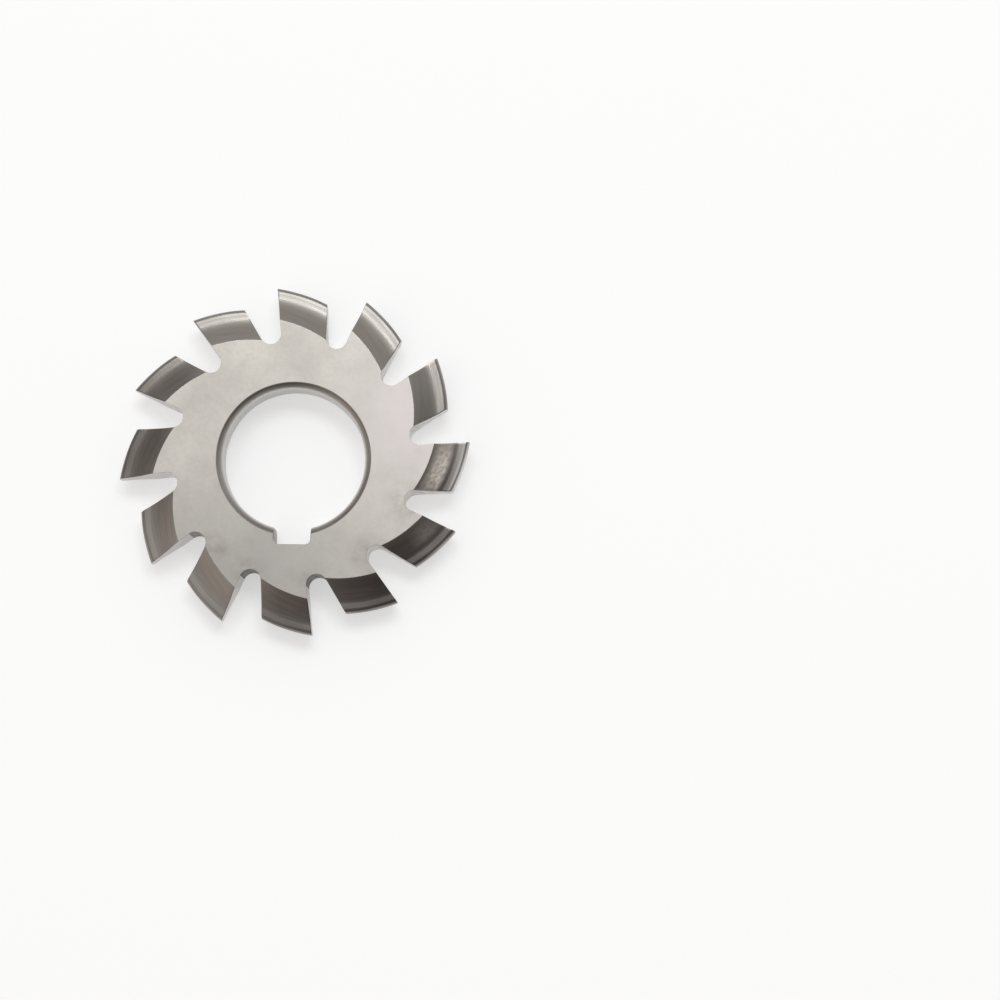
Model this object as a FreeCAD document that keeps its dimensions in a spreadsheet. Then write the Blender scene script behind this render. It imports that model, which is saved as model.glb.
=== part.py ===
"""Involute gear cutter: a form-relieved disc cutter that mills the space between two gear teeth.

The cutter lies flat: the bore runs along +Z, the origin is on the bore axis in the middle of
the width, and the keyway is at -Y. Seen from +Z, every tooth has its cutting face on its
counterclockwise side, and falls towards its heel on the clockwise side. Lengths are in
millimetres and angles in degrees.
"""
import FreeCAD
import Part
import Sketcher
import math
import os

V = FreeCAD.Vector

# Driving dimensions: sheet alias, value, meaning.
SIZES = [
    ("outside_diameter", 67.0, "over the tips of the cutting edges"),
    ("cutter_width", 8.5, "between the two ground side faces"),
    ("bore_diameter", 27.0, "for the milling arbor"),
    ("bore_chamfer", 1.1, "at both mouths of the bore, at 45 degrees"),
    ("keyway_width", 7.0, "between the walls of the keyway"),
    ("keyway_height", 29.8, "from the floor of the keyway to the far side of the bore"),
    ("keyway_corner_radius", 1.0, "where the floor of the keyway meets its walls"),
    ("tooth_count", 12, "teeth round the cutter"),
    ("first_face_angle", 6.75, "from the keyway to the next cutting face, counterclockwise"),
    ("relief_fall", 4.73, "how far the spiral behind an edge falls over one tooth pitch"),
    ("gullet_angle", 24.0, "between the cutting face and the heel across the gullet"),
    ("gullet_apex_radius", 14.9, "where the lines of the cutting face and the heel would meet"),
    ("gullet_floor_radius", 2.0, "rounding at the bottom of the gullet"),
    ("gear_module", 3.0, "of the gear that is cut"),
    ("gear_teeth", 21, "of the smallest gear that is cut, which sets the form of the flanks"),
    ("pressure_angle", 20.0, "of the gear that is cut"),
    ("gear_dedendum", 1.25, "depth of the gear's root below its pitch circle, in modules"),
    ("tip_corner_radius", 0.9, "between the tip of a tooth and its flanks"),
]

SECTION_COUNT = 5     # radial sections through which the relieved form is led over one pitch
FLANK_POINTS = 7      # points that the involute curve of a flank passes through
CORNER_ARCS = 2       # arcs in which a tip corner is drawn, so that no face bends far across
OVERRUN = 1.5         # how far a cut starts outside the blank
BISECTION_STEPS = 50
SAME_POINT = 1e-6

doc = FreeCAD.newDocument("gear_cutter")
sheet = doc.addObject("Spreadsheet::Sheet", "sizes")
for row, (alias, value, meaning) in enumerate(SIZES, start=1):
    sheet.set(f"A{row}", alias)
    sheet.set(f"B{row}", str(value))
    sheet.set(f"C{row}", meaning)
    sheet.setAlias(f"B{row}", alias)
doc.recompute()


def size(alias):
    """Value of a driving dimension, read back from the sheet."""
    return float(sheet.get(alias))


body = doc.addObject("PartDesign::Body", "gear_cutter")
body.Label = "gear_cutter"


def origin_feature(role):
    """Origin plane or axis of the body, found by its role."""
    return next(item for item in body.Origin.OriginFeatures if item.Role == role)


def new_sketch(name, plane_role):
    sketch = body.newObject("Sketcher::SketchObject", name)
    sketch.AttachmentSupport = [(origin_feature(plane_role), "")]
    sketch.MapMode = "FlatFace"
    return sketch


def shared_ends(sketch, curve, other):
    """Which ends of two curves of a sketch meet; 1 is a start and 2 an end."""
    for mine in (1, 2):
        for theirs in (1, 2):
            gap = sketch.getPoint(curve, mine).distanceToPoint(sketch.getPoint(other, theirs))
            if gap < SAME_POINT:
                return mine, theirs
    raise ValueError("two curves of a path don't meet")


def add_path(sketch, path, smooth=()):
    """Add a closed path of curves and return their numbers.

    Each curve is joined to the next, and those whose places are in smooth run on into it.
    """
    numbers = [sketch.addGeometry(curve, False) for curve in path]
    ends = [shared_ends(sketch, here, there)
            for here, there in zip(numbers, numbers[1:] + numbers[:1])]
    for place, (mine, theirs) in enumerate(ends):
        following = numbers[(place + 1) % len(numbers)]
        kind = "Tangent" if place in smooth else "Coincident"
        sketch.addConstraint(Sketcher.Constraint(kind, numbers[place], mine, following, theirs))
    return numbers


def polygon(points):
    """Straight edges round the points, in order."""
    return [Part.LineSegment(a, b) for a, b in zip(points, points[1:] + points[:1])]


def drive(sketch, name, expression, *constraint):
    """Add a named dimension to the sketch and bind it to the sheet."""
    number = sketch.addConstraint(Sketcher.Constraint(*constraint))
    sketch.renameConstraint(number, name)
    sketch.setExpression(f"Constraints.{name}", expression)


# Turned blank: a ring with a chamfered bore, from one half-section turned about +Z.

def make_blank():
    bore = size("bore_diameter") / 2
    face = size("cutter_width") / 2
    rim = size("outside_diameter") / 2 + OVERRUN
    chamfer = size("bore_chamfer")
    sketch = new_sketch("blank_section", "XZ_Plane")
    lower, outer, upper, upper_chamfer, wall, lower_chamfer = add_path(sketch, polygon([
        V(bore + chamfer, -face, 0), V(rim, -face, 0), V(rim, face, 0),
        V(bore + chamfer, face, 0), V(bore, face - chamfer, 0), V(bore, -face + chamfer, 0),
    ]))
    sketch.addConstraint([
        Sketcher.Constraint("Horizontal", lower),
        Sketcher.Constraint("Horizontal", upper),
        Sketcher.Constraint("Symmetric", outer, 1, outer, 2, -1),
        Sketcher.Constraint("Symmetric", wall, 1, wall, 2, -1),
    ])
    drive(sketch, "bore_radius", "sizes.bore_diameter / 2", "DistanceX", -1, 1, wall, 1, bore)
    drive(sketch, "rim_radius", f"sizes.outside_diameter / 2 + {OVERRUN}",
          "DistanceX", -1, 1, outer, 1, rim)
    drive(sketch, "width", "sizes.cutter_width", "DistanceY", outer, 1, outer, 2, 2 * face)
    drive(sketch, "chamfer_depth", "sizes.bore_chamfer",
          "DistanceX", upper_chamfer, 2, upper_chamfer, 1, chamfer)
    drive(sketch, "chamfer_height", "sizes.bore_chamfer",
          "DistanceY", upper_chamfer, 2, upper_chamfer, 1, chamfer)
    drive(sketch, "lower_chamfer_depth", "sizes.bore_chamfer",
          "DistanceX", lower_chamfer, 1, lower_chamfer, 2, chamfer)
    blank = body.newObject("PartDesign::Revolution", "blank")
    blank.Profile = sketch
    blank.ReferenceAxis = (sketch, ["V_Axis"])
    blank.Angle = 360
    return blank


# Keyway: a slot through the full width at -Y, with rounded bottom corners.

def make_keyway():
    half = size("keyway_width") / 2
    floor = size("keyway_height") - size("bore_diameter") / 2
    mouth = size("bore_diameter") / 4
    corner = size("keyway_corner_radius")
    sketch = new_sketch("keyway_section", "XY_Plane")
    left_corner = Part.ArcOfCircle(
        Part.Circle(V(-half + corner, -floor + corner, 0), V(0, 0, 1), corner),
        math.pi, 1.5 * math.pi)
    right_corner = Part.ArcOfCircle(
        Part.Circle(V(half - corner, -floor + corner, 0), V(0, 0, 1), corner),
        1.5 * math.pi, 2 * math.pi)
    left, first, bottom, second, right, top = add_path(sketch, [
        Part.LineSegment(V(-half, -mouth, 0), V(-half, -floor + corner, 0)),
        left_corner,
        Part.LineSegment(V(-half + corner, -floor, 0), V(half - corner, -floor, 0)),
        right_corner,
        Part.LineSegment(V(half, -floor + corner, 0), V(half, -mouth, 0)),
        Part.LineSegment(V(half, -mouth, 0), V(-half, -mouth, 0)),
    ], smooth=(0, 1, 2, 3))
    sketch.addConstraint([
        Sketcher.Constraint("Vertical", left),
        Sketcher.Constraint("Vertical", right),
        Sketcher.Constraint("Horizontal", bottom),
        Sketcher.Constraint("Symmetric", top, 1, top, 2, -2),
        Sketcher.Constraint("Equal", first, second),
    ])
    drive(sketch, "keyway_width", "sizes.keyway_width", "DistanceX", top, 2, top, 1, 2 * half)
    drive(sketch, "keyway_floor", "sizes.keyway_height - sizes.bore_diameter / 2",
          "DistanceY", bottom, 1, -1, 1, floor)
    drive(sketch, "keyway_mouth", "sizes.bore_diameter / 4", "DistanceY", top, 1, -1, 1, mouth)
    drive(sketch, "corner_radius", "sizes.keyway_corner_radius", "Radius", first, corner)
    keyway = body.newObject("PartDesign::Pocket", "keyway")
    keyway.Profile = sketch
    keyway.Type = "ThroughAll"
    keyway.Midplane = True
    return keyway


# Form of a tooth in a radial plane: the space between two teeth of the gear that is cut.

def involute(angle):
    """Involute function of an angle in radians."""
    return math.tan(angle) - angle


def gear_radii():
    """Pitch, base and root radius of the gear that is cut."""
    pitch = size("gear_module") * size("gear_teeth") / 2
    base = pitch * math.cos(math.radians(size("pressure_angle")))
    root = pitch - size("gear_dedendum") * size("gear_module")
    return pitch, base, root


def space_half_angle(radius):
    """Half the angle that the gear's tooth space spans at a radius on or above its base circle."""
    base = gear_radii()[1]
    at_pitch = math.pi / (2 * size("gear_teeth"))
    pressure = math.radians(size("pressure_angle"))
    return at_pitch - involute(pressure) + involute(math.acos(min(1.0, base / radius)))


def space_point(radius):
    """Point of the space's flank as (half width, height over the gear's centre)."""
    angle = space_half_angle(radius)
    return radius * math.sin(angle), radius * math.cos(angle)


def radius_at_half_width(half_width):
    """Gear radius at which the involute flank is as far as this from the middle of the space."""
    low = gear_radii()[1]
    high = 2 * low
    for _ in range(BISECTION_STEPS):
        middle = (low + high) / 2
        if space_point(middle)[0] < half_width:
            low = middle
        else:
            high = middle
    return low


def flank_curves(side):
    """Involute, straight root part and tip corner of one flank, from the side face to the tip.

    Points are (radius on the cutter, height over the mid-plane); side is +1 or -1.
    """
    base, root = gear_radii()[1:]
    tip = size("outside_diameter") / 2

    def on_cutter(half_width, height):
        return V(tip + root - height, side * half_width, 0)

    outermost = radius_at_half_width(size("cutter_width") / 2 + OVERRUN)
    steps = [1 - (n / (FLANK_POINTS - 1)) ** 2 for n in range(FLANK_POINTS)]
    involute_points = [on_cutter(*space_point(base + (outermost - base) * s)) for s in steps]
    curve = Part.BSplineCurve()
    curve.interpolate(involute_points)

    # Below the base circle the flank is a straight line that points at the gear's centre.
    tilt = space_half_angle(base)
    corner = size("tip_corner_radius")
    trim = corner * math.tan((math.pi / 2 - tilt) / 2)
    sharp = root * math.tan(tilt)
    flank_end = on_cutter(sharp + trim * math.sin(tilt), root + trim * math.cos(tilt))
    straight = Part.LineSegment(involute_points[-1], flank_end)
    centre = on_cutter(sharp - trim, root + corner)

    def on_corner(share):
        angle = (math.pi / 2 - tilt) * share
        return centre + V(corner * math.cos(angle), side * corner * math.sin(angle), 0)

    stops = [1 - n / CORNER_ARCS for n in range(CORNER_ARCS + 1)]
    rounding = [Part.Arc(on_corner(a), on_corner((a + b) / 2), on_corner(b))
                for a, b in zip(stops, stops[1:])]
    return [curve, straight, *rounding]


def cut_outline():
    """What the relieving tool takes away in a radial plane: all that lies round one tooth."""
    upper = flank_curves(1)
    lower = flank_curves(-1)
    foot = upper[0].StartPoint
    top = size("outside_diameter") / 2 + size("relief_fall") + 2 * OVERRUN
    tip_upper = upper[-1].EndPoint
    tip_lower = lower[-1].EndPoint
    beyond = foot.y + OVERRUN
    return [
        *upper,
        Part.LineSegment(tip_upper, tip_lower),
        *reversed(lower),
        Part.LineSegment(V(foot.x, -foot.y, 0), V(foot.x, -beyond, 0)),
        Part.LineSegment(V(foot.x, -beyond, 0), V(top, -beyond, 0)),
        Part.LineSegment(V(top, -beyond, 0), V(top, beyond, 0)),
        Part.LineSegment(V(top, beyond, 0), V(foot.x, beyond, 0)),
        Part.LineSegment(V(foot.x, beyond, 0), foot),
    ]


def gullet_centre():
    """Centre of the rounding at the bottom of the gullet, from the cutter's axis.

    The first coordinate is along the cutting face and the second across the gullet.
    """
    half = math.radians(size("gullet_angle")) / 2
    rounding = size("gullet_floor_radius")
    return V(size("gullet_apex_radius") + rounding / math.tan(half), rounding, 0)


def make_relief():
    """Cut the relieved form over one pitch, which begins and ends in the middle of a gullet."""
    pitch_angle = 360 / size("tooth_count")
    centre = gullet_centre()
    lead = math.degrees(math.atan2(centre.y, centre.x))
    outline = cut_outline()
    sections = []
    for number in range(SECTION_COUNT):
        turn = lead - pitch_angle * number / (SECTION_COUNT - 1)
        sketch = new_sketch(f"relief_section_{number + 1}", "XZ_Plane")
        for curve in add_path(sketch, outline):
            sketch.addConstraint(Sketcher.Constraint("Block", curve))
        rise = f"sizes.relief_fall * sizes.tooth_count / 360 * {turn}"
        azimuth = f"(sizes.first_face_angle - 90 + {turn})"
        sketch.AttachmentOffset = FreeCAD.Placement(V(0, 0, 0), FreeCAD.Rotation(V(0, 1, 0), turn))
        sketch.setExpression("AttachmentOffset.Base.x", f"{rise} * cos({azimuth} * 1 deg) * 1 mm")
        sketch.setExpression("AttachmentOffset.Base.z", f"-{rise} * sin({azimuth} * 1 deg) * 1 mm")
        sketch.setExpression("AttachmentOffset.Rotation.Angle", f"{azimuth} * 1 deg")
        sections.append(sketch)
    relief = body.newObject("PartDesign::SubtractiveLoft", "relief")
    relief.Profile = sections[0]
    relief.Sections = sections[1:]
    relief.Ruled = False
    return relief


# Gullet: a slanted V with a rounded floor; its radial side is the cutting face.

def make_gullet():
    half = math.radians(size("gullet_angle")) / 2
    apex = V(size("gullet_apex_radius"), 0, 0)
    heel_direction = V(math.cos(2 * half), math.sin(2 * half), 0)
    rounding = size("gullet_floor_radius")
    centre = gullet_centre()
    tangent_length = rounding / math.tan(half)
    reach = size("outside_diameter") / 2 + 2 * OVERRUN
    face_start = V(centre.x, 0, 0)
    face_end = V(reach, 0, 0)
    heel_start = apex + heel_direction * tangent_length
    heel_end = apex + heel_direction * (reach - apex.x * math.cos(2 * half))
    floor = Part.Arc(heel_start, centre - (centre - apex).normalize() * rounding, face_start)
    sketch = new_sketch("gullet_section", "XY_Plane")
    face, mouth, heel, bottom = add_path(sketch, [
        Part.LineSegment(face_start, face_end),
        Part.LineSegment(face_end, heel_end),
        Part.LineSegment(heel_end, heel_start),
        floor,
    ], smooth=(2, 3))
    vertex = sketch.addGeometry(Part.Point(apex), True)
    sketch.addConstraint([
        Sketcher.Constraint("PointOnObject", face, 1, -1),
        Sketcher.Constraint("PointOnObject", face, 2, -1),
        Sketcher.Constraint("PointOnObject", vertex, 1, -1),
        Sketcher.Constraint("PointOnObject", vertex, 1, heel),
    ])
    drive(sketch, "apex_radius", "sizes.gullet_apex_radius",
          "DistanceX", -1, 1, vertex, 1, apex.x)
    drive(sketch, "floor_radius", "sizes.gullet_floor_radius", "Radius", bottom, rounding)
    drive(sketch, "gullet_angle", "sizes.gullet_angle * 1 deg",
          "Angle", face, 1, heel, 2, 2 * half)
    drive(sketch, "reach", f"sizes.outside_diameter / 2 + {2 * OVERRUN}",
          "DistanceX", -1, 1, face, 2, reach)
    sketch.addConstraint(Sketcher.Constraint("Distance", heel, 2, heel, 1,
                                             (heel_end - heel_start).Length))
    sketch.AttachmentOffset = FreeCAD.Placement(V(0, 0, 0), FreeCAD.Rotation(V(0, 0, 1), 1))
    sketch.setExpression("AttachmentOffset.Rotation.Angle", "(sizes.first_face_angle - 90) * 1 deg")
    gullet = body.newObject("PartDesign::Pocket", "gullet")
    gullet.Profile = sketch
    gullet.Type = "ThroughAll"
    gullet.Midplane = True
    return gullet


def make_pattern(originals):
    """Repeat the relief and the gullet round the cutter's axis."""
    pattern = body.newObject("PartDesign::PolarPattern", "teeth")
    pattern.Originals = originals
    pattern.Axis = (origin_feature("Z_Axis"), [""])
    pattern.Angle = 360
    pattern.setExpression("Occurrences", "sizes.tooth_count")
    body.Tip = pattern
    return pattern


def check_and_export():
    doc.recompute()
    for item in doc.Objects:
        if "Invalid" in item.State or "Error" in item.State:
            raise RuntimeError(f"{item.Name} failed: {item.State}")
    shape = body.Shape
    if shape.isNull() or not shape.isValid() or len(shape.Solids) != 1:
        raise RuntimeError("the cutter isn't one valid solid")
    os.makedirs("parts", exist_ok=True)
    shape.exportStep(f"parts/{body.Label}.step")
    print(f"{body.Label}: {shape.Volume:.1f} mm3, {len(shape.Faces)} faces")


make_blank()
make_keyway()
relief = make_relief()
gullet = make_gullet()
make_pattern([relief, gullet])
check_and_export()
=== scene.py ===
"""Looks of a form-relieved involute gear cutter that lies flat on a pale floor.

Lengths are in millimetres until a mesh is made, and angles in degrees. The bore runs along +Z.
"""
import math

import bmesh
import bpy
from mathutils import Matrix, Vector


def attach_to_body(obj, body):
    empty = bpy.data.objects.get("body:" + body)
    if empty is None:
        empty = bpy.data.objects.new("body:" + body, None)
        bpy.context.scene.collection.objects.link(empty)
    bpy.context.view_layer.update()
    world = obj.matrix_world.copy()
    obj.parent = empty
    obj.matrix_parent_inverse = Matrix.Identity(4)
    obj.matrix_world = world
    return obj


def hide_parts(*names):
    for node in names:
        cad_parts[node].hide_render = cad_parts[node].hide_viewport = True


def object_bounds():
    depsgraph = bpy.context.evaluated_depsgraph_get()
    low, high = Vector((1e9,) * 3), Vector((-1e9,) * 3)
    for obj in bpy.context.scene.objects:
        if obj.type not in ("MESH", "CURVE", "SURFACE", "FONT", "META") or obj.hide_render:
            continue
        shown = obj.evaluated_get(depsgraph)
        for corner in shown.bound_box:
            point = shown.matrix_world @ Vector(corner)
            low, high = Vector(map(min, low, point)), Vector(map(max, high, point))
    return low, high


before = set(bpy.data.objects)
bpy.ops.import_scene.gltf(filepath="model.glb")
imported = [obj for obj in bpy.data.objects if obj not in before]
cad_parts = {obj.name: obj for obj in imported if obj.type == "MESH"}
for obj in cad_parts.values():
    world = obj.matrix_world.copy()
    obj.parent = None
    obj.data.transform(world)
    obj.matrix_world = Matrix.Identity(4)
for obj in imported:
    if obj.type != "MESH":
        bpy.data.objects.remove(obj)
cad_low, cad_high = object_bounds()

MM = 0.001

# Sizes of the cutter, which repeat the solid's.
TIP_RADIUS = 33.5
FACE = 4.25                  # half the width
BORE = 13.5
CHAMFER = 1.1
KEYWAY_HALF = 3.5
KEYWAY_FLOOR = 16.3
KEYWAY_CORNER = 1.0
TEETH = 12
PITCH = 360 / TEETH
FIRST_FACE = -83.25          # direction of the first cutting face
FALL = 4.73                  # of the relief over one pitch
GULLET_ANGLE = 24.0
APEX = 14.9                  # where the lines of a gullet's two sides meet
GULLET_FLOOR = 2.0           # rounding at the bottom of a gullet
MODULE = 3.0
GEAR_TEETH = 21
PRESSURE = math.radians(20)
DEDENDUM = 1.25
TIP_CORNER = 0.9

# Rounding under the chamfers, where arbors have worn the edge; the solid keeps it sharp.
MOUTH_ROUNDING = 1.6

# Fineness of the mesh.
CORNER_STEPS = 9
STRAIGHT_STEPS = 2
INVOLUTE_STEPS = 14
FOOT_STEPS = 2
LAND_STEPS = 2
RELIEF_STEPS = 30
FLOOR_STEPS = 12
RING_STEPS = 240
MOUTH_STEPS = 8
STEP_CROWDING = 1.5          # above 1, the steps of an involute crowd toward the tip
SETTLING_ROUNDS = 30         # of the search for the end of a relieved edge
RADIUS_TOLERANCE = 1e-7
DECIMALS = 5                 # to which a vertex is rounded before it is looked up
SAME_POINT = 1e-4
SEAM_ANGLE = 24              # from the keyway's middle, where a seam near it meets the bore
BEVEL_SEGMENTS = 2

# Kinds of surface: each has its material and its place in a material list.
SIDE, FLANK, TIP, CUT, HEEL, BORE_WALL, MOUTH, KEYWAY = range(8)

# Widths of the broken edges between kinds of surface.
BREAKS = {
    (SIDE, FLANK): 0.03, (SIDE, CUT): 0.03, (FLANK, CUT): 0.03, (TIP, CUT): 0.03,
    (SIDE, HEEL): 0.05, (FLANK, HEEL): 0.05, (TIP, HEEL): 0.05,
    (SIDE, MOUTH): 0.03,
    (SIDE, KEYWAY): 0.12, (MOUTH, KEYWAY): 0.10, (BORE_WALL, KEYWAY): 0.10,
}
WIDEST_BREAK = max(BREAKS.values())


def polar(radius, angle):
    return Vector((radius * math.cos(math.radians(angle)), radius * math.sin(math.radians(angle))))


def involute(angle):
    return math.tan(angle) - angle


PITCH_RADIUS = MODULE * GEAR_TEETH / 2
BASE_RADIUS = PITCH_RADIUS * math.cos(PRESSURE)
ROOT_RADIUS = PITCH_RADIUS - DEDENDUM * MODULE
BASE_TILT = math.pi / (2 * GEAR_TEETH) - involute(PRESSURE)


def flank_point(radius):
    """Depth under the tip and half height of the flank where the gear's radius is this."""
    tilt = BASE_TILT + involute(math.acos(min(1, BASE_RADIUS / radius)))
    return radius * math.cos(tilt) - ROOT_RADIUS, radius * math.sin(tilt)


def gear_radius(part, target):
    """Gear radius at which the depth (part 0) or half height (part 1) of the flank is this."""
    low, high = BASE_RADIUS, 2 * BASE_RADIUS
    while high - low > RADIUS_TOLERANCE:
        middle = (low + high) / 2
        if flank_point(middle)[part] < target:
            low = middle
        else:
            high = middle
    return low


def relieved(depth, angle):
    """Radius of the relieved form at this depth, this far behind the cutting face."""
    return TIP_RADIUS - depth + FALL * angle / PITCH


# A gullet in plan, where the cutting face that it serves lies along +X.
REACH = GULLET_FLOOR / math.tan(math.radians(GULLET_ANGLE) / 2)
FLOOR_CENTRE = Vector((APEX + REACH, GULLET_FLOOR))
HEEL_TANGENT = Vector((APEX, 0)) + REACH * polar(1, GULLET_ANGLE)


def heel_line_angle(radius):
    """Angle behind the cutting face at which the straight heel has this radius."""
    distance = APEX * math.sin(math.radians(GULLET_ANGLE))
    return GULLET_ANGLE - PITCH - math.degrees(math.asin(distance / radius))


def heel_end(depth):
    """Angle behind the cutting face at which the relieved form runs out into the gullet."""
    reach = FLOOR_CENTRE.length
    bearing = math.degrees(math.atan2(FLOOR_CENTRE.y, FLOOR_CENTRE.x))
    angle = -PITCH / 2
    for _ in range(SETTLING_ROUNDS):
        radius = relieved(depth, angle)
        if radius > HEEL_TANGENT.length:
            angle = heel_line_angle(radius)
        else:
            cosine = (radius ** 2 + reach ** 2 - GULLET_FLOOR ** 2) / (2 * radius * reach)
            angle = bearing - PITCH + math.degrees(math.acos(cosine))
    return angle


def half_profile():
    """Points (depth, half height, kind) from the middle of the tip out to the side face.

    The last FOOT_STEPS points run out into the rounding of the gullet.
    """
    sharp = ROOT_RADIUS * math.tan(BASE_TILT)
    turn = math.pi / 2 - BASE_TILT
    trim = TIP_CORNER * math.tan(turn / 2)
    land = sharp - trim
    points = [(0, land * n / LAND_STEPS, TIP) for n in range(LAND_STEPS)]
    for n in range(CORNER_STEPS + 1):
        angle = turn * n / CORNER_STEPS
        points.append((TIP_CORNER * (1 - math.cos(angle)),
                       land + TIP_CORNER * math.sin(angle), TIP))
    start = Vector(points[-1][:2])
    end = Vector(flank_point(BASE_RADIUS))
    for n in range(1, STRAIGHT_STEPS + 1):
        spot = start.lerp(end, n / STRAIGHT_STEPS)
        points.append((spot.x, spot.y, FLANK))
    tangent = HEEL_TANGENT.length
    foot_depth = TIP_RADIUS - tangent + FALL * heel_line_angle(tangent) / PITCH
    foot = gear_radius(0, foot_depth)
    for n in range(1, INVOLUTE_STEPS + 1):
        share = (n / INVOLUTE_STEPS) ** STEP_CROWDING
        points.append((*flank_point(BASE_RADIUS + (foot - BASE_RADIUS) * share), FLANK))
    outermost = gear_radius(1, FACE)
    for n in range(1, FOOT_STEPS + 1):
        points.append((*flank_point(foot + (outermost - foot) * n / FOOT_STEPS), FLANK))
    return points


class Builder:
    """Collects the vertices and faces of the cutter in millimetres."""

    def __init__(self):
        self.mesh = bmesh.new()
        self.lay = self.mesh.loops.layers.uv.new("lay")
        self.found = {}

    def vertex(self, x, y, z):
        key = tuple(round(value, DECIMALS) for value in (x, y, z))
        if key not in self.found:
            self.found[key] = self.mesh.verts.new(key)
        return self.found[key]

    def face(self, corners, kind, lay):
        """corners are (x, y, z); lay are (along, across) the marks of the tool, in millimetres."""
        verts = [self.vertex(*corner) for corner in corners]
        kept = [n for n, v in enumerate(verts) if v is not verts[n - 1]]
        if len(kept) < 3:
            return
        made = self.mesh.faces.new([verts[n] for n in kept])
        made.material_index = kind
        made.smooth = len(kept) <= 4
        for loop, n in zip(made.loops, kept):
            loop[self.lay].uv = lay[n]

    def strip(self, first, second, kind, lay_first, lay_second):
        """Quads between two rows of as many points."""
        for n in range(len(first) - 1):
            self.face([first[n], first[n + 1], second[n + 1], second[n]], kind,
                      [lay_first[n], lay_first[n + 1], lay_second[n + 1], lay_second[n]])


def along(points):
    """Distance along a row of points, at each of them."""
    total = 0
    rows = [0]
    for a, b in zip(points, points[1:]):
        total += (Vector(b) - Vector(a)).length
        rows.append(total)
    return rows


def wall(builder, plan, kind):
    """Wall square to the side faces over (x, y, half height) points."""
    run = along([(x, y, 0) for x, y, _ in plan])
    builder.strip(plan, [(x, y, -z) for x, y, z in plan], kind,
                  [(r, p[2]) for r, p in zip(run, plan)], [(r, -p[2]) for r, p in zip(run, plan)])


def panel(builder, corners, kind):
    """Flat face square to the side faces."""
    start = Vector(corners[0][:2])
    lay = [((Vector(corner[:2]) - start).length, corner[2]) for corner in corners]
    builder.face(corners, kind, lay)


def tooth(builder, face_angle, face_root):
    """Relieved surfaces, cutting face and heel of one tooth.

    Returns its edge on the upper side face and the foot of its heel, as (x, y, z) points.
    """
    half = half_profile()
    profile = [(d, z, kind) for d, z, kind in reversed(half)]
    profile += [(d, -z, kind) for d, z, kind in half[1:]]
    across = along([(d, z, 0) for d, z, _ in profile])
    rows = []
    for depth, height, _ in profile:
        last = heel_end(depth)
        row = []
        for n in range(RELIEF_STEPS + 1):
            angle = last * n / RELIEF_STEPS
            spot = polar(relieved(depth, angle), face_angle + angle)
            row.append((spot.x, spot.y, height))
        rows.append(row)
    for n in range(len(rows) - 1):
        kinds = {profile[n][2], profile[n + 1][2]}
        kind = FLANK if FLANK in kinds else TIP
        builder.strip(rows[n + 1], rows[n], kind,
                      [(r, across[n + 1]) for r in along(rows[n + 1])],
                      [(r, across[n]) for r in along(rows[n])])
    front = [row[0] for row in rows]
    back = [row[-1] for row in rows]
    panel(builder, [(*face_root, FACE)] + front + [(*face_root, -FACE)], CUT)
    panel(builder, back[FOOT_STEPS:len(back) - FOOT_STEPS], HEEL)
    return rows[0], back[:FOOT_STEPS + 1]


def gullet_floor(face_angle):
    """(x, y) points of the rounding ahead of a cutting face, from the side face's corner."""
    depth = half_profile()[-1][0]
    last = heel_end(depth)
    corner = polar(relieved(depth, last), last + PITCH) - FLOOR_CENTRE
    first = math.degrees(math.atan2(corner.y, corner.x))
    turn = Matrix.Rotation(math.radians(face_angle), 2)
    points = []
    for n in range(FLOOR_STEPS + 1):
        spot = turn @ (FLOOR_CENTRE + polar(GULLET_FLOOR, first + (270 - first) * n / FLOOR_STEPS))
        points.append(tuple(spot))
    return points


def ring(radius, height):
    """Circle round the bore from the keyway's right wall to its left wall."""
    gap = math.degrees(math.asin(KEYWAY_HALF / radius))
    sweep = 360 - 2 * gap
    rows = []
    for n in range(RING_STEPS + 1):
        spot = polar(radius, -90 + gap + sweep * n / RING_STEPS)
        rows.append((spot.x, spot.y, height))
    return rows


def mouth_profile():
    """(radius, height) points of the upper mouth, from the bore's wall out to the side face."""
    turn = math.radians(45)
    start = FACE - CHAMFER - MOUTH_ROUNDING * math.tan(turn / 2)
    points = []
    for n in range(MOUTH_STEPS + 1):
        angle = turn * n / MOUTH_STEPS
        points.append((BORE + MOUTH_ROUNDING * (1 - math.cos(angle)),
                       start + MOUTH_ROUNDING * math.sin(angle)))
    points.append((BORE + CHAMFER, FACE))
    return points


def bore(builder):
    """Wall of the bore and its two worn mouths; returns the edge on the side face."""
    run = [BORE * math.radians(360) * n / RING_STEPS for n in range(RING_STEPS + 1)]
    profile = mouth_profile()
    across = along([(radius, height, 0) for radius, height in profile])
    straight = profile[0][1]
    builder.strip(ring(BORE, straight), ring(BORE, -straight), BORE_WALL,
                  [(r, straight) for r in run], [(r, -straight) for r in run])
    for n in range(len(profile) - 1):
        inner, outer = profile[n], profile[n + 1]
        for sign in (1, -1):
            builder.strip(ring(inner[0], sign * inner[1]), ring(outer[0], sign * outer[1]), MOUTH,
                          [(r, across[n]) for r in run], [(r, across[n + 1]) for r in run])
    return [(x, y) for x, y, _ in ring(BORE + CHAMFER, FACE)]


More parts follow.
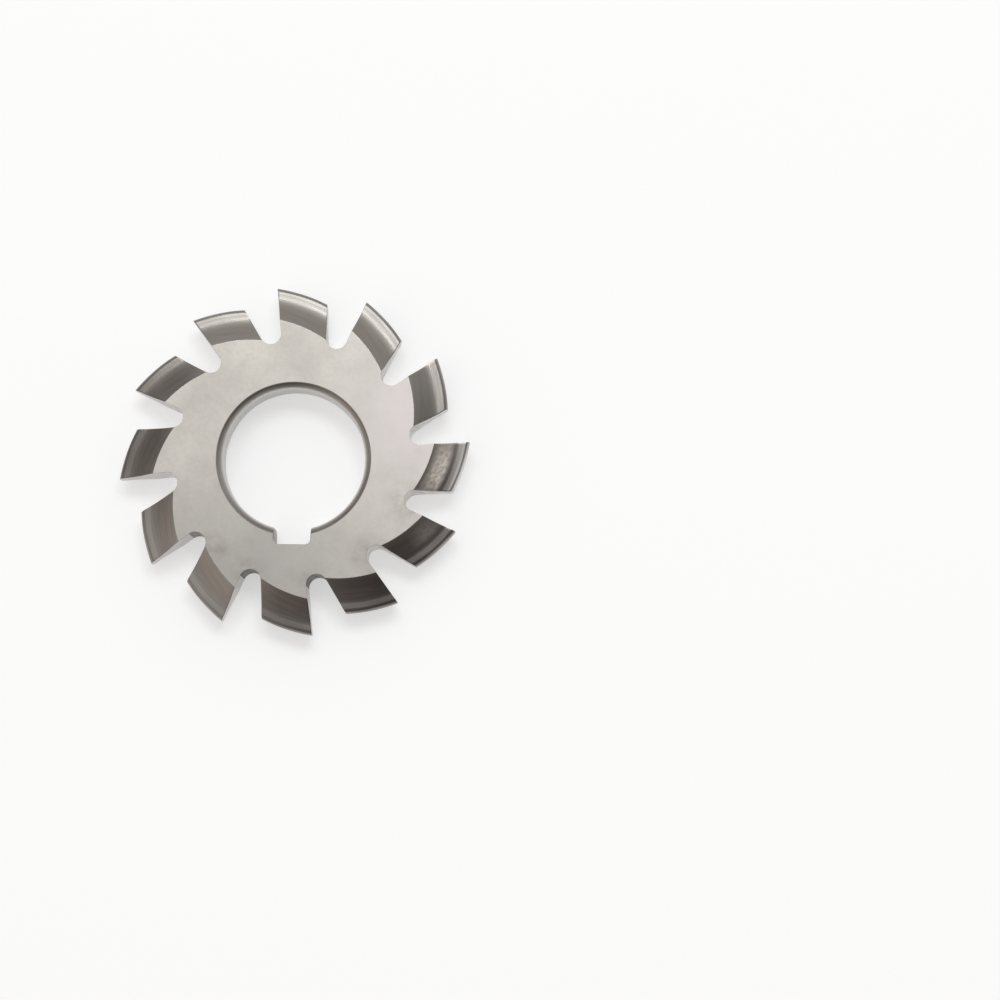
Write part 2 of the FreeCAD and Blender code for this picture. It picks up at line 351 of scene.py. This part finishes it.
def keyway(builder):
    """Walls and floor of the keyway; returns the edge on the side face, from left to right."""
    corner_top = -KEYWAY_FLOOR + KEYWAY_CORNER
    mouth = [ring(radius, height)[0][1:] for radius, height in mouth_profile()]
    for sign in (1, -1):
        half = [(corner_top, FACE)] + list(reversed(mouth))
        edge = half + [(y, -z) for y, z in reversed(half)]
        panel(builder, [(sign * KEYWAY_HALF, y, z) for y, z in edge], KEYWAY)
    bottom = []
    for sign in (-1, 1):
        arc = []
        for n in range(CORNER_STEPS + 1):
            spot = polar(KEYWAY_CORNER, 180 + 90 * n / CORNER_STEPS)
            arc.append((sign * (KEYWAY_HALF - KEYWAY_CORNER - spot.x), corner_top + spot.y))
        bottom += arc if sign < 0 else list(reversed(arc))
    wall(builder, [(x, y, FACE) for x, y in bottom], KEYWAY)
    return bottom


def nearest(points, target):
    return min(range(len(points)), key=lambda n: (Vector(points[n]) - target).length)


def side_faces(builder, outer, cuts, ring_edge, key_edge):
    """Flat side faces, each in as many faces as teeth, between the outline and the bore."""
    # The inner edge is closed: round the bore from right to left, then back along the keyway.
    inner = ring_edge + key_edge
    count = len(outer)
    attach = []
    for cut in cuts:
        direction = Vector(outer[cut]).normalized()
        target = direction * (BORE + CHAMFER)
        if abs(target.x) < KEYWAY_HALF + CHAMFER and target.y < 0:
            target = polar(BORE + CHAMFER, -90 + math.copysign(SEAM_ANGLE, target.x))
        attach.append(nearest(inner, target))
    for n, cut in enumerate(cuts):
        following = cuts[(n + 1) % len(cuts)]
        span = (following - cut) % count
        rim = [outer[(cut + k) % count] for k in range(span + 1)]
        start, end = attach[n], attach[(n + 1) % len(cuts)]
        back = (start - end) % len(inner)
        edge = [inner[(end + k) % len(inner)] for k in range(back + 1)]
        loop = rim + edge
        for z in (FACE, -FACE):
            corners = [(x, y, z) for x, y in loop]
            lay = [(x, y) for x, y in loop]
            builder.face(corners if z > 0 else corners[::-1], SIDE, lay if z > 0 else lay[::-1])


def break_edges(mesh):
    """Weight each edge between two kinds of surface by how wide it is broken."""
    weight = mesh.edges.layers.float.new("bevel_weight_edge")
    widths = {frozenset(pair): width for pair, width in BREAKS.items()}
    for edge in mesh.edges:
        kinds = frozenset(face.material_index for face in edge.link_faces)
        edge[weight] = widths.get(kinds, 0) / WIDEST_BREAK
        edge.smooth = not kinds >= {SIDE, FLANK}


def cutter_mesh():
    builder = Builder()
    outer = []
    cuts = []
    for n in range(TEETH):
        # Clockwise, so that each tooth's edge runs on into the gullet behind it.
        angle = FIRST_FACE - PITCH * n
        floor = gullet_floor(angle - PITCH)
        edge, foot = tooth(builder, angle, gullet_floor(angle)[-1])
        wall(builder, foot[::-1] + [(x, y, FACE) for x, y in floor[1:]], HEEL)
        outer += [(x, y) for x, y, _ in edge]
        cuts.append(len(outer) + FLOOR_STEPS // 2)
        outer += floor[1:]
    ring_edge = bore(builder)
    key_edge = keyway(builder)
    side_faces(builder, outer, cuts, ring_edge, key_edge)
    mesh = builder.mesh
    bmesh.ops.remove_doubles(mesh, verts=mesh.verts, dist=SAME_POINT)
    bmesh.ops.recalc_face_normals(mesh, faces=mesh.faces)
    break_edges(mesh)
    mesh.transform(Matrix.Scale(MM, 4))
    made = bpy.data.meshes.new("relieved_cutter")
    mesh.to_mesh(made)
    mesh.free()
    return made


# Node helpers.

def node(tree, kind, inputs=None, **settings):
    """Add a node; inputs are values or sockets by name or number."""
    made = tree.nodes.new(kind)
    for key, value in settings.items():
        setattr(made, key, value)
    for key, value in (inputs or {}).items():
        if isinstance(value, bpy.types.NodeSocket):
            tree.links.new(value, made.inputs[key])
        else:
            made.inputs[key].default_value = value
    return made


def maths(tree, operation, *values):
    return node(tree, "ShaderNodeMath", dict(enumerate(values)), operation=operation).outputs[0]


def spread(tree, value, low, high, to_low=0.0, to_high=1.0):
    """Map a value from one range to another and hold it there."""
    inputs = {"Value": value, "From Min": low, "From Max": high,
              "To Min": to_low, "To Max": to_high}
    return node(tree, "ShaderNodeMapRange", inputs).outputs[0]


def blend(tree, share, first, second):
    made = node(tree, "ShaderNodeMix", {"Factor": share}, data_type="RGBA")
    # Sockets 6 and 7 take the two colours, and socket 2 gives the blend.
    for socket, value in ((made.inputs[6], first), (made.inputs[7], second)):
        if isinstance(value, bpy.types.NodeSocket):
            tree.links.new(value, socket)
        else:
            socket.default_value = (*value, 1)
    return made.outputs[2]


def noise(tree, place, scale, detail, stretch=(1, 1, 1)):
    """Noise whose scale is in waves per metre, stretched along the axes."""
    scaled = node(tree, "ShaderNodeVectorMath", {0: place, 1: tuple(scale * s for s in stretch)},
                  operation="MULTIPLY").outputs[0]
    inputs = {"Vector": scaled, "Scale": 1.0, "Detail": detail}
    return node(tree, "ShaderNodeTexNoise", inputs).outputs[0]


def tool_marks(tree, lay, along_waves, across_waves):
    """Noise with these waves per millimetre along and across the marks of a tool."""
    return noise(tree, lay, 1, 4, stretch=(along_waves, across_waves, 1))


def spots(tree, place, centres):
    """How near a point is to any of the (x, y, reach, strength) spots, in millimetres."""
    total = None
    for x, y, reach, strength in centres:
        gap = node(tree, "ShaderNodeVectorMath", {0: place, 1: (x * MM, y * MM, 0)},
                   operation="SUBTRACT").outputs[0]
        flat = node(tree, "ShaderNodeVectorMath", {0: gap, 1: (1, 1, 0)},
                    operation="MULTIPLY").outputs[0]
        distance = node(tree, "ShaderNodeVectorMath", {0: flat}, operation="LENGTH").outputs[1]
        near = spread(tree, distance, reach * MM, SPOT_CORE * reach * MM, 0, strength)
        total = near if total is None else maths(tree, "MAXIMUM", total, near)
    return total


def material(name, build):
    """A metal that build(tree, object place, lay) describes.

    It returns the colour, the roughness, and the height of the marks with their depth in
    millimetres.
    """
    made = bpy.data.materials.new(name)
    made.use_nodes = True
    tree = made.node_tree
    tree.nodes.clear()
    place = node(tree, "ShaderNodeTexCoord").outputs["Object"]
    lay = node(tree, "ShaderNodeUVMap", uv_map="lay").outputs[0]
    colour, roughness, height, depth = build(tree, place, lay)
    bump = node(tree, "ShaderNodeBump",
                {"Height": height, "Strength": 1.0, "Distance": depth * MM})
    shader = node(tree, "ShaderNodeBsdfPrincipled",
                  {"Base Color": colour, "Roughness": roughness, "Metallic": 1.0,
                   "Normal": bump.outputs[0]})
    node(tree, "ShaderNodeOutputMaterial", {"Surface": shader.outputs[0]})
    return made


# Part of a noise's range that holds most of its values, and a narrower one for more contrast.
USUAL = (0.3, 0.7)
MIDDLE = (0.35, 0.65)

# Spots in plan: x, y, reach and strength. Inside this share of its reach a spot is at its full
# strength.
SPOT_CORE = 0.2
# Brown stains that the cutting fluid left round the lower gullets.
STAINS = [
    (-15.0, -18.0, 5.0, 0.7), (-8.0, -22.0, 4.5, 0.6), (3.5, -22.8, 4.0, 0.5),
    (14.5, -18.0, 4.5, 0.6), (21.5, -8.5, 5.0, 0.6), (-11.0, -19.0, 7.0, 0.2),
]
# Painted highlight where the side face is lit brightest, toward the right, and painted shade where
# it is darker toward the bottom.
SIDE_HIGHLIGHT_SPOTS = [(24.0, 8.0, 20.0, 0.8), (18.0, -9.0, 12.0, 0.4)]
SIDE_SHADE_SPOTS = [(-6.0, -26.0, 30.0, 0.75)]
# Painted reflection: the chamfer of the bore is painted paler at the left and the right.
MOUTH_GLEAM_SPOTS = [(-14.0, -2.0, 12.0, 0.7), (14.4, 0.0, 6.0, 0.5)]
# Where chips have rubbed the teeth bright.
RUBS = [(29.0, -2.0, 9.5, 1.0), (26.0, -14.0, 4.5, 0.3)]
# Painted shade on the heels and floors of the lower and left gullets.
GULLET_SHADE_SPOTS = [(-4.0, -22.0, 18.0, 1.5), (-19.0, -12.0, 8.0, 1.0)]
# Teeth darkened partly by a thick film of the hardening and partly by painted shade, on the teeth
# turned from the lamps.
FILM_AND_SHADE_SPOTS = [(20.0, -24.0, 21.0, 1.0), (29.0, -17.0, 10.0, 0.8), (-30.0, 5.0, 22.0, 0.95),
        (0.0, -27.0, 12.0, 0.85), (-22.5, 13.0, 10.0, 0.85), (29.0, -6.0, 9.0, 0.6)]

# Bands, in millimetres. A change starts at the first number and is full at the second.
RUB_STARTS = (0.2, 1.8)      # the rubbed band, from the edge of the upper side face
RUB_ENDS = (4.9, 3.9)
BURNISHED = (6.0, 6.4)       # where a rubbed tooth turns bright again, from the same edge
PALE_MOUTH = (1.75, 0.95)    # the inner side of a mouth, from the wall of the bore
# Painted shade: a thin dark band on the side face along the edge of the mouth.
RIM_SHADE_BAND = (0.20, 0.06)      # of the side face, from the edge of the mouth

# Colours. A pair holds the two between which a finish varies.
SIDE_GREYS = ((0.470, 0.442, 0.405), (0.555, 0.526, 0.480))
SIDE_MOTTLE = (0.365, 0.340, 0.312)
# Painted highlight and painted shade of the side face.
SIDE_HIGHLIGHT_PAINT = (0.61, 0.555, 0.545)
SIDE_SHADE_PAINT = (0.392, 0.373, 0.350)
STAIN_BROWN = (0.18, 0.145, 0.12)
# Painted shade of the side face's rim at the mouth.
RIM_SHADE_PAINT = (0.15, 0.14, 0.13)
FLANK_GREYS = ((0.268, 0.248, 0.226), (0.358, 0.335, 0.308))
# Hardening film and painted shade of the flanks.
FLANK_FILM_AND_SHADE = ((0.12, 0.102, 0.092), (0.20, 0.178, 0.162))
RUBBED_PALE = (0.95, 0.88, 0.80)
BURNISHED_PALE = (0.80, 0.775, 0.74)
TIP_GREYS = ((0.22, 0.203, 0.188), (0.36, 0.338, 0.315))
# Hardening film and painted shade of the tips.
TIP_FILM_AND_SHADE = ((0.11, 0.098, 0.09), (0.22, 0.20, 0.185))
CUT_GREYS = ((0.46, 0.435, 0.41), (0.66, 0.63, 0.605))
HEEL_GREYS = ((0.61, 0.59, 0.57), (0.84, 0.82, 0.795))
# Painted shade of the heels.
HEEL_SHADE_PAINT = ((0.075, 0.065, 0.055), (0.17, 0.15, 0.135))
BORE_GREYS = ((0.42, 0.40, 0.38), (0.55, 0.53, 0.505))
MOUTH_GREYS = ((0.20, 0.18, 0.165), (0.38, 0.35, 0.33))
# Painted reflection on the chamfer.
MOUTH_GLEAM_PAINT = (0.44, 0.42, 0.395)
MOUTH_PALE = (0.60, 0.58, 0.55)
KEYWAY_GREYS = ((0.23, 0.205, 0.185), (0.40, 0.375, 0.35))


def ground_side(tree, place, lay):
    cloud = noise(tree, place, 120, 4)
    mottle = noise(tree, place, 1500, 4)
    x, y = node(tree, "ShaderNodeSeparateXYZ", {0: place}).outputs[:2]
    radius = maths(tree, "SQRT", maths(tree, "ADD", maths(tree, "MULTIPLY", x, x),
                                       maths(tree, "MULTIPLY", y, y)))
    rings = node(tree, "ShaderNodeCombineXYZ", {0: radius}).outputs[0]
    grinding = noise(tree, rings, 9000, 5)
    colour = blend(tree, spread(tree, cloud, *MIDDLE), *SIDE_GREYS)
    colour = blend(tree, spread(tree, mottle, 0.4, 0.75, 0, 0.25), colour, SIDE_MOTTLE)
    # Painted highlight on the right of the side face, then painted shade toward its bottom.
    colour = blend(tree, spots(tree, place, SIDE_HIGHLIGHT_SPOTS), colour, SIDE_HIGHLIGHT_PAINT)
    colour = blend(tree, spots(tree, place, SIDE_SHADE_SPOTS), colour, SIDE_SHADE_PAINT)
    stained = maths(tree, "MULTIPLY", spots(tree, place, STAINS),
                    spread(tree, noise(tree, place, 500, 5), *USUAL))
    colour = blend(tree, maths(tree, "MULTIPLY", stained, 0.75), colour, STAIN_BROWN)
    # Painted shade darkens the side face in a thin band round the mouth of the bore.
    starts, full = ((BORE + CHAMFER + width) * MM for width in RIM_SHADE_BAND)
    colour = blend(tree, spread(tree, radius, starts, full), colour, RIM_SHADE_PAINT)
    roughness = spread(tree, noise(tree, place, 400, 3), *USUAL, 0.32, 0.42)
    height = maths(tree, "ADD", grinding, maths(tree, "MULTIPLY", mottle, 1.5))
    return colour, roughness, height, 0.002


def relieved_flank(tree, place, lay):
    streak = tool_marks(tree, lay, 0.12, 5.0)
    patch = tool_marks(tree, lay, 1.3, 1.6)
    colour = blend(tree, spread(tree, streak, *USUAL), *FLANK_GREYS)
    dark = blend(tree, spread(tree, streak, *USUAL), *FLANK_FILM_AND_SHADE)
    # Hardening film and painted shade darken the teeth turned from the lamps.
    colour = blend(tree, spots(tree, place, FILM_AND_SHADE_SPOTS), colour, dark)
    across = node(tree, "ShaderNodeSeparateXYZ", {0: lay}).outputs[1]
    near = spots(tree, place, RUBS)
    band = maths(tree, "MULTIPLY", spread(tree, across, *RUB_STARTS),
                 spread(tree, across, *RUB_ENDS))
    patchy = maths(tree, "MULTIPLY", near, spread(tree, patch, 0.32, 0.62, 0.55, 1.0))
    rubbed = maths(tree, "MULTIPLY", patchy, band)
    colour = blend(tree, rubbed, colour, RUBBED_PALE)
    burnished = maths(tree, "MULTIPLY", near, spread(tree, across, *BURNISHED, 0, 0.4))
    colour = blend(tree, burnished, colour, BURNISHED_PALE)
    roughness = maths(tree, "ADD", spread(tree, streak, *USUAL, 0.385, 0.305),
                      maths(tree, "MULTIPLY", rubbed, 0.35))
    height = maths(tree, "ADD", streak, maths(tree, "MULTIPLY", rubbed, 0.3))
    return colour, roughness, height, 0.0014


def worn_tip(tree, place, lay):
    streak = tool_marks(tree, lay, 0.2, 6.0)
    share = spread(tree, streak, *USUAL)
    colour = blend(tree, share, *TIP_GREYS)
    # Hardening film and painted shade darken the tips turned from the lamps.
    colour = blend(tree, spots(tree, place, FILM_AND_SHADE_SPOTS), colour, blend(tree, share, *TIP_FILM_AND_SHADE))
    rubbed = maths(tree, "MULTIPLY", spots(tree, place, RUBS), 0.8)
    colour = blend(tree, rubbed, colour, BURNISHED_PALE)
    return colour, spread(tree, streak, *USUAL, 0.40, 0.28), streak, 0.004


def cutting_face(tree, place, lay):
    scratch = tool_marks(tree, lay, 0.3, 9.0)
    colour = blend(tree, spread(tree, scratch, *USUAL), *CUT_GREYS)
    return colour, spread(tree, scratch, *USUAL, 0.36, 0.24), scratch, 0.003


def milled_heel(tree, place, lay):
    scale = noise(tree, place, 900, 5)
    share = spread(tree, scale, *MIDDLE)
    colour = blend(tree, share, *HEEL_GREYS)
    # Painted shade darkens the heels in the lower and left gullets.
    colour = blend(tree, spots(tree, place, GULLET_SHADE_SPOTS), colour, blend(tree, share, *HEEL_SHADE_PAINT))
    height = maths(tree, "ADD", scale, tool_marks(tree, lay, 5.0, 0.3))
    return colour, spread(tree, scale, *USUAL, 0.5, 0.38), height, 0.006


def honed_bore(tree, place, lay):
    lines = tool_marks(tree, lay, 0.25, 7.0)
    colour = blend(tree, spread(tree, lines, *USUAL), *BORE_GREYS)
    return colour, spread(tree, lines, *USUAL, 0.34, 0.24), lines, 0.002


def turned_mouth(tree, place, lay):
    lines = tool_marks(tree, lay, 0.2, 8.0)
    colour = blend(tree, spread(tree, lines, *USUAL), *MOUTH_GREYS)
    # Painted reflection brightens the chamfer at the left and the right.
    colour = blend(tree, spots(tree, place, MOUTH_GLEAM_SPOTS), colour, MOUTH_GLEAM_PAINT)
    across = node(tree, "ShaderNodeSeparateXYZ", {0: lay}).outputs[1]
    colour = blend(tree, spread(tree, across, *PALE_MOUTH), colour, MOUTH_PALE)
    return colour, spread(tree, lines, *USUAL, 0.46, 0.34), lines, 0.004


def broached_keyway(tree, place, lay):
    lines = tool_marks(tree, lay, 6.0, 0.3)
    scale = noise(tree, place, 800, 4)
    colour = blend(tree, spread(tree, scale, *MIDDLE), *KEYWAY_GREYS)
    return colour, spread(tree, lines, *USUAL, 0.46, 0.34), lines, 0.004


def make_cutter():
    made = cutter_mesh()
    # In the order of the kinds of surface.
    for finish in (ground_side, relieved_flank, worn_tip, cutting_face, milled_heel, honed_bore,
                   turned_mouth, broached_keyway):
        made.materials.append(material(finish.__name__, finish))
    cutter = bpy.data.objects.new("relieved_cutter", made)
    bpy.context.scene.collection.objects.link(cutter)
    bevel = cutter.modifiers.new("broken_edges", "BEVEL")
    bevel.limit_method = "WEIGHT"
    bevel.width = WIDEST_BREAK * MM
    bevel.segments = BEVEL_SEGMENTS
    bevel.use_clamp_overlap = False
    shading = cutter.modifiers.new("shading", "WEIGHTED_NORMAL")
    shading.keep_sharp = True
    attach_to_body(cutter, "root")
    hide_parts("gear_cutter")


# Stage: pale floor, two soft windows and a grey room for the metal to reflect.

FLOOR_SIDE = 6.0
FLOOR_COLOUR = (0.60, 0.60, 0.60, 1)
FLOOR_GLOW = 0.53            # added where the eye or a reflection meets the floor


def seen(tree):
    """1 for rays of the camera, of gloss and of transmission."""
    path = node(tree, "ShaderNodeLightPath").outputs
    both = maths(tree, "MAXIMUM", path["Is Camera Ray"], path["Is Glossy Ray"])
    return maths(tree, "MAXIMUM", both, path["Is Transmission Ray"])


def make_floor():
    made = bpy.data.meshes.new("floor")
    reach = FLOOR_SIDE / 2
    corners = [(-reach, -reach, 0), (reach, -reach, 0), (reach, reach, 0), (-reach, reach, 0)]
    made.from_pydata(corners, [], [(0, 1, 2, 3)])
    floor = bpy.data.objects.new("floor", made)
    bpy.context.scene.collection.objects.link(floor)
    floor.location.z = cad_low.z
    paint = bpy.data.materials.new("floor")
    paint.use_nodes = True
    tree = paint.node_tree
    tree.nodes.clear()
    diffuse = node(tree, "ShaderNodeBsdfDiffuse", {"Color": FLOOR_COLOUR})
    strength = maths(tree, "MULTIPLY", seen(tree), FLOOR_GLOW)
    glow = node(tree, "ShaderNodeEmission", {"Color": (1, 1, 1, 1), "Strength": strength})
    both = node(tree, "ShaderNodeAddShader", {0: diffuse.outputs[0], 1: glow.outputs[0]})
    node(tree, "ShaderNodeOutputMaterial", {"Surface": both.outputs[0]})
    made.materials.append(paint)


# Grey of the room, and what stands round it: azimuth, how far a direction leans toward it where
# the colour starts and where it is full, and the colour.
ROOM_GREY = (0.24, 0.23, 0.22)
WALLS = [
    (80, -0.2, 0.6, (0.62, 0.61, 0.60)),
    (222, 0.3, 0.9, (0.76, 0.68, 0.635)),
    (308, 0.1, 0.8, (0.13, 0.12, 0.115)),
]
# Pale foot of one wall, the ceiling, and a dark screen before it. The heights are those of a
# direction, where the colour starts and where it is full.
FOOT_PLACE = (345, 0.2, 0.7)
FOOT_HEIGHTS = (0.24, 0.10)
FOOT_COLOUR = (0.80, 0.80, 0.76)
CEILING_HEIGHTS = (0.55, 0.97)
CEILING_COLOUR = (0.82, 0.82, 0.82)
SCREEN_PLACE = (318, 0.0, 0.26)
SCREEN_HEIGHTS = (0.60, 0.85)
SCREEN_COLOUR = (0.12, 0.11, 0.105)


def toward(tree, direction, azimuth, low, high):
    """How far a direction leans toward an azimuth, from low to high."""
    aim = (math.cos(math.radians(azimuth)), math.sin(math.radians(azimuth)), 0)
    lean = node(tree, "ShaderNodeVectorMath", {0: direction, 1: aim},
                operation="DOT_PRODUCT").outputs[1]
    return spread(tree, lean, low, high)


def patch_of_room(tree, direction, height, place, heights):
    """How much of a patch of the room a direction meets."""
    return maths(tree, "MULTIPLY", toward(tree, direction, *place),
                 spread(tree, height, *heights))


def make_world():
    """A room with a pale ceiling and grey walls, one of them warm and one dark."""
    world = bpy.data.worlds.new("room")
    bpy.context.scene.world = world
    world.use_nodes = True
    tree = world.node_tree
    tree.nodes.clear()
    direction = node(tree, "ShaderNodeTexCoord").outputs["Generated"]
    height = node(tree, "ShaderNodeSeparateXYZ", {0: direction}).outputs[2]
    room = ROOM_GREY
    for *place, colour in WALLS:
        room = blend(tree, toward(tree, direction, *place), room, colour)
    foot = patch_of_room(tree, direction, height, FOOT_PLACE, FOOT_HEIGHTS)
    room = blend(tree, foot, room, FOOT_COLOUR)
    room = blend(tree, spread(tree, height, *CEILING_HEIGHTS), room, CEILING_COLOUR)
    screen = patch_of_room(tree, direction, height, SCREEN_PLACE, SCREEN_HEIGHTS)
    room = blend(tree, screen, room, SCREEN_COLOUR)
    back = node(tree, "ShaderNodeBackground", {"Color": room, "Strength": 1.0})
    node(tree, "ShaderNodeOutputWorld", {"Surface": back.outputs[0]})


DAYLIGHT = (0.955, 0.985, 1.0)


def add_lamp(name, place, size, energy):
    """Soft rectangular lamp aimed at the cutter; place and size in metres, energy in watts."""
    light = bpy.data.lights.new(name, "AREA")
    light.shape = "RECTANGLE"
    light.size, light.size_y = size
    light.energy = energy
    light.color = DAYLIGHT
    lamp = bpy.data.objects.new(name, light)
    bpy.context.scene.collection.objects.link(lamp)
    lamp.location = place
    lamp.rotation_euler = (-lamp.location).to_track_quat("-Z", "Y").to_euler()


# Camera: its place and direction were solved from the tips, the rims of the bore and the edges
# of the side face.

CAMERA_PLACE = Vector((45.01, -73.87, 568.2)) * MM
CAMERA_LOOK = Vector((-0.01018, 0.1169, -0.99309))
CAMERA_UP = Vector((-0.01088, 0.99307, 0.11701))
FOCAL_PIXELS = 3003.5
PHOTO_PIXELS = 1000
SENSOR = 36.0                # in millimetres
CLIP_START = 0.01


def make_camera():
    lens = bpy.data.cameras.new("camera")
    lens.sensor_width = SENSOR
    lens.lens = SENSOR * FOCAL_PIXELS / PHOTO_PIXELS
    lens.clip_start = CLIP_START
    camera = bpy.data.objects.new("camera", lens)
    bpy.context.scene.collection.objects.link(camera)
    back = -CAMERA_LOOK.normalized()
    right = CAMERA_UP.cross(back).normalized()
    up = back.cross(right)
    turn = Matrix((right, up, back)).transposed().to_4x4()
    camera.matrix_world = Matrix.Translation(CAMERA_PLACE) @ turn
    bpy.context.scene.camera = camera


make_cutter()
make_floor()
make_world()
add_lamp("window", (0.08, 0.70, 1.34), (0.95, 0.42), 6.2)
add_lamp("side_window", (0.405, 0.48, 1.36), (0.25, 0.25), 0.6)
make_camera()
bpy.context.scene.view_settings.view_transform = "Standard"
